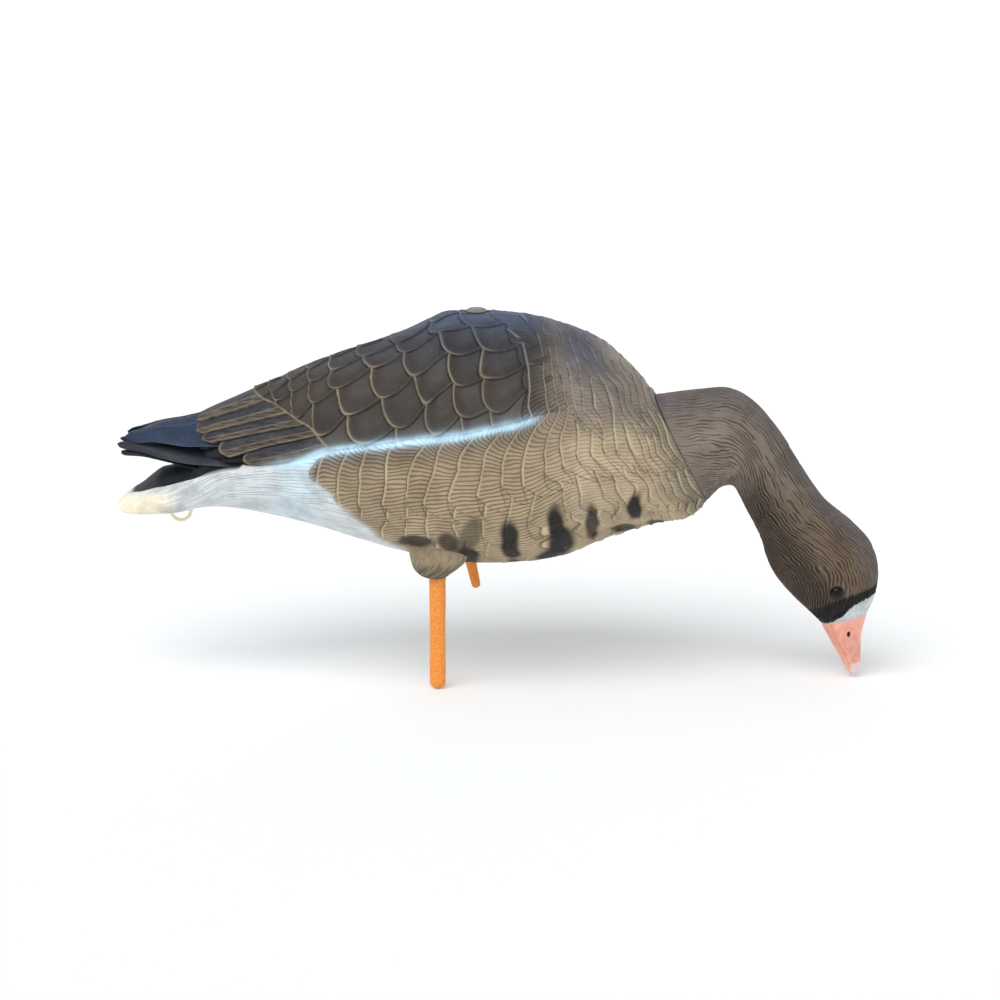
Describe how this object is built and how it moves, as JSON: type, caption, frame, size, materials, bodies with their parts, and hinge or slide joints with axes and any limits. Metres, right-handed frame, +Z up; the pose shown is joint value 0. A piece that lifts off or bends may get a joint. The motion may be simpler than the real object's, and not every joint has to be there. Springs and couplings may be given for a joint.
{
  "type": "goose decoy",
  "caption": "Hollow full-body goose decoy in a feeding pose, with a turning head, push-in leg pegs, a tail ring and a socket that spins on a ground stake.",
  "frame": {"origin": "centre of the stake socket's mouth, under the belly", "axes": "+X forward, from the tail to the bill; +Y to the bird's left; +Z up along the stake"},
  "size_m": [0.6826, 0.2, 0.3378],
  "materials": {
    "painted_body": "flocked and airbrushed",
    "painted_head": "airbrushed",
    "cap_plastic": "satin",
    "eye_gloss": "polished",
    "orange_plastic": "satin",
    "cream_plastic": "satin",
    "black_nylon": "satin",
    "white_acetal": "satin",
    "black_rubber": "matt",
    "steel": "brushed"
  },
  "bodies": {
    "stake_socket": {"stake_tube": "steel", "tube_end_plug": "black_nylon", "thrust_washer": "white_acetal", "tube_keeper": "black_nylon"},
    "body": {"body_shell": "painted_body", "belly_bushing": "black_nylon", "back_cap": "cap_plastic", "neck_collar": "black_nylon", "right_leg_sleeve": "black_nylon", "left_leg_sleeve": "black_nylon", "ring_eyelet": "steel", "eyelet_nut": "steel"},
    "neck_ring": {"neck_friction_ring": "black_rubber"},
    "head": {"head_shell": "painted_head", "neck_plug": "black_nylon", "turn_stop_pin": "steel", "right_eye": "eye_gloss", "left_eye": "eye_gloss"},
    "right_leg": {"right_leg": "orange_plastic"},
    "left_leg": {"left_leg": "orange_plastic"},
    "tail_ring": {"tail_ring": "cream_plastic"}
  },
  "joints": [
    {"name": "stake_swivel", "type": "hinge", "parent": "stake_socket", "child": "body", "pos_m": [0, 0, 0], "axis": [0, 0, 1], "continuous": true},
    {"name": "head_pull", "type": "slide", "parent": "body", "child": "neck_ring", "axis": [0.8906, 0, 0.4548], "range_m": [0, 0.045]},
    {"name": "head_turn", "type": "hinge", "parent": "neck_ring", "child": "head", "pos_m": [0.183, 0, 0.105], "axis": [0.8906, 0, 0.4548], "range_deg": [-60, 60]},
    {"name": "right_leg_pull", "type": "slide", "parent": "body", "child": "right_leg", "axis": [0, 0, -1], "range_m": [0, 0.045]},
    {"name": "left_leg_pull", "type": "slide", "parent": "body", "child": "left_leg", "axis": [0.2164, 0, -0.9763], "range_m": [0, 0.045]},
    {"name": "ring_swing", "type": "hinge", "parent": "body", "child": "tail_ring", "pos_m": [-0.266, 0, 0.0538], "axis": [1, 0, 0], "range_deg": [-70, 70]}
  ]
}
